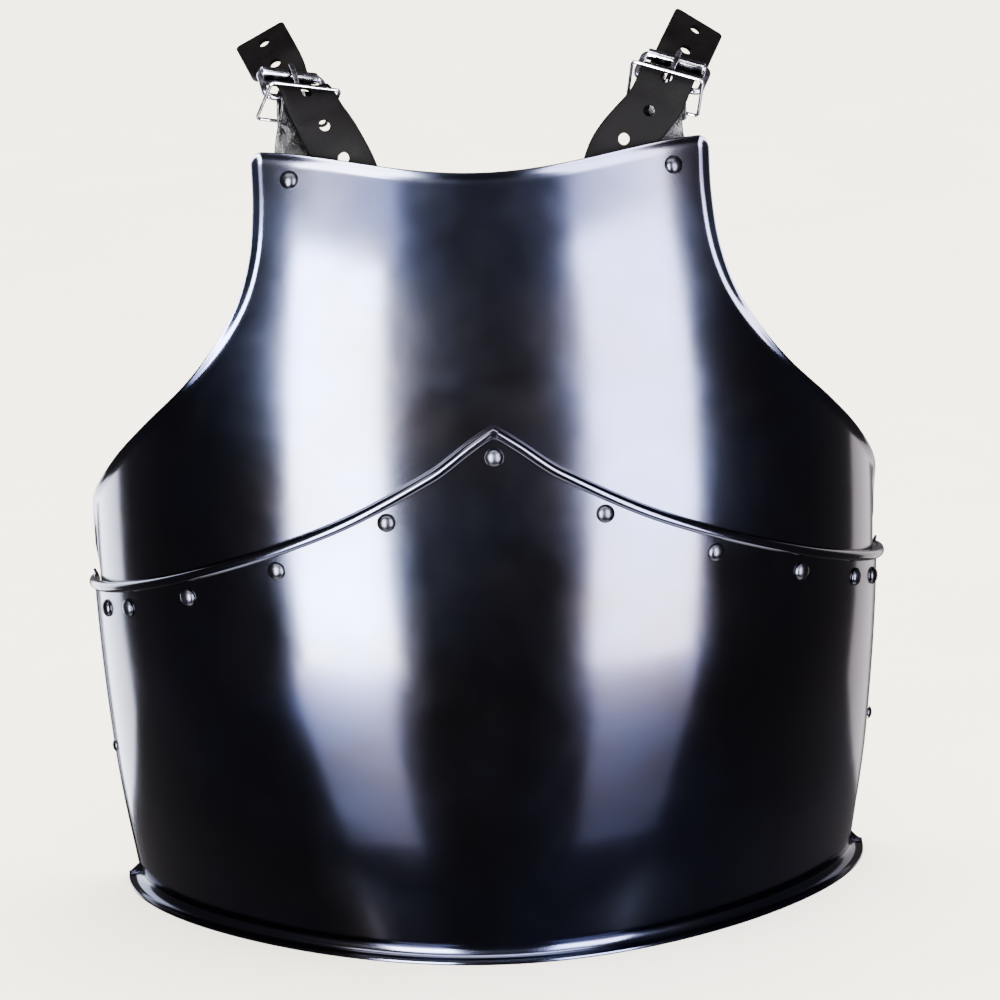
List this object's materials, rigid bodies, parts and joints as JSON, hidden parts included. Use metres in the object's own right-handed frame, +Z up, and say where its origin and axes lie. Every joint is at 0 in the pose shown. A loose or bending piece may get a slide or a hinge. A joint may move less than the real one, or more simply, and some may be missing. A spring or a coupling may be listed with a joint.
{
  "type": "steel breastplate",
  "caption": "Front breastplate of dark polished steel: a chest plate riveted behind a pointed lower plackart, with buckled leather shoulder straps.",
  "frame": {"origin": "middle of the box round the whole object, at the floor it stands on", "axes": "+Z up along the breastbone, the chest faces -Y, +X towards the right in a view of the front"},
  "size_m": [0.4346, 0.1864, 0.4818],
  "materials": {
    "plate_steel": "blackened and polished",
    "rivet_steel": "blackened and polished",
    "buckle_steel": "polished wire",
    "strap_leather": "waxed, satin",
    "buckle_strap_leather": "waxed, creased"
  },
  "bodies": {
    "root": {"breast_plate": "plate_steel", "plackart": "plate_steel", "plackart_rivet_1": "rivet_steel", "plackart_rivet_2": "rivet_steel", "plackart_rivet_3": "rivet_steel", "plackart_rivet_4": "rivet_steel", "plackart_rivet_5": "rivet_steel", "plackart_rivet_6": "rivet_steel", "plackart_rivet_7": "rivet_steel", "plackart_rivet_8": "rivet_steel", "plackart_rivet_9": "rivet_steel", "plackart_rivet_10": "rivet_steel", "plackart_rivet_11": "rivet_steel", "shoulder_strap_left": "strap_leather", "buckle_strap_left": "buckle_strap_leather", "buckle_frame_left": "buckle_steel", "buckle_roller_left": "buckle_steel", "buckle_prong_left": "buckle_steel", "strap_keeper_left": "buckle_steel", "shoulder_rivet_left": "rivet_steel", "side_rivet_left": "rivet_steel", "shoulder_strap_right": "strap_leather", "buckle_strap_right": "buckle_strap_leather", "buckle_frame_right": "buckle_steel", "buckle_roller_right": "buckle_steel", "buckle_prong_right": "buckle_steel", "strap_keeper_right": "buckle_steel", "shoulder_rivet_right": "rivet_steel", "side_rivet_right": "rivet_steel"}
  },
  "joints": []
}
